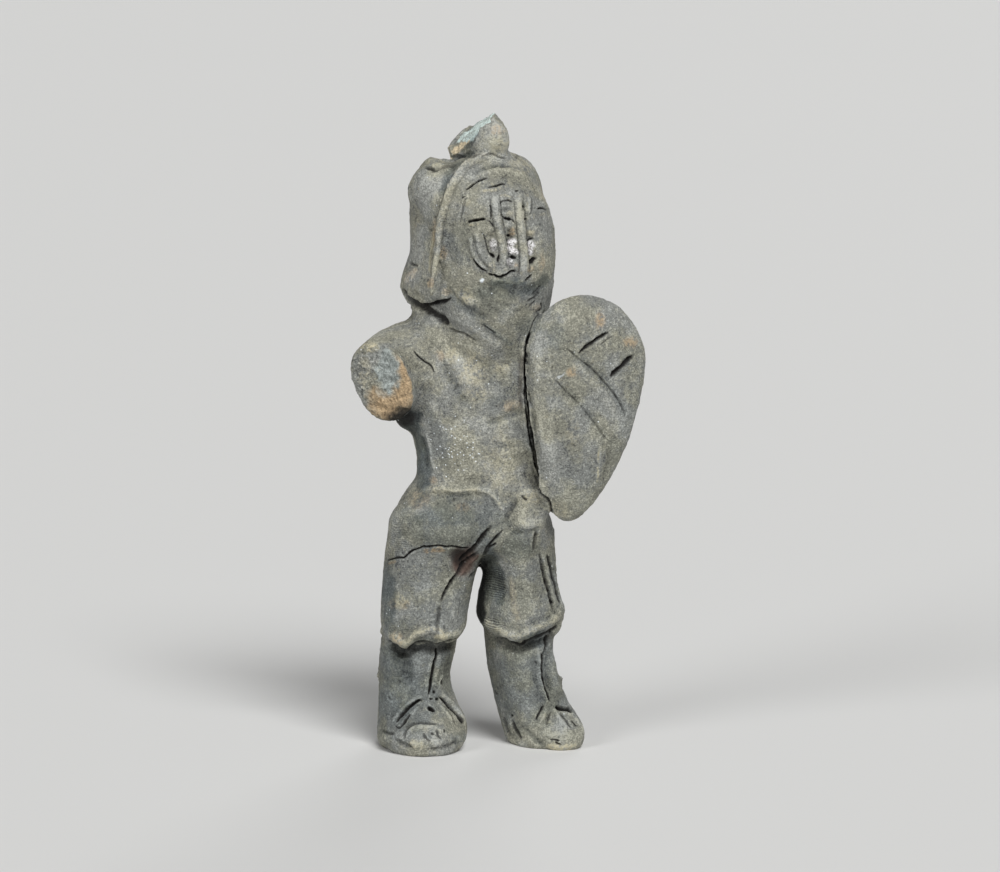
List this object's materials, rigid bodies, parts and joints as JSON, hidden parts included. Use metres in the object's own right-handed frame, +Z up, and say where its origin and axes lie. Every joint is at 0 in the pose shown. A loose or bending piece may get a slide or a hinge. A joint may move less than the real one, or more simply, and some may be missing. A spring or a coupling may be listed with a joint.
{
  "type": "clay gladiator figurine",
  "caption": "Hand-modelled clay figurine of a standing gladiator with crested helmet, barred visor and long shield; the sword arm and part of the crest are broken off.",
  "frame": {"origin": "middle of the figure's bounding box on the plane that its soles stand on", "axes": "+Z up along the figure, -Y the way its chest and shield face, +X towards its left hand's side"},
  "size_m": [0.0586, 0.0326, 0.1277],
  "materials": {
    "gladiator_figurine": "matt unglazed grey fired clay with buff highlights, orange patches and fine sparkling grains"
  },
  "bodies": {
    "root": {"gladiator_figurine": "gladiator_figurine"}
  },
  "joints": []
}
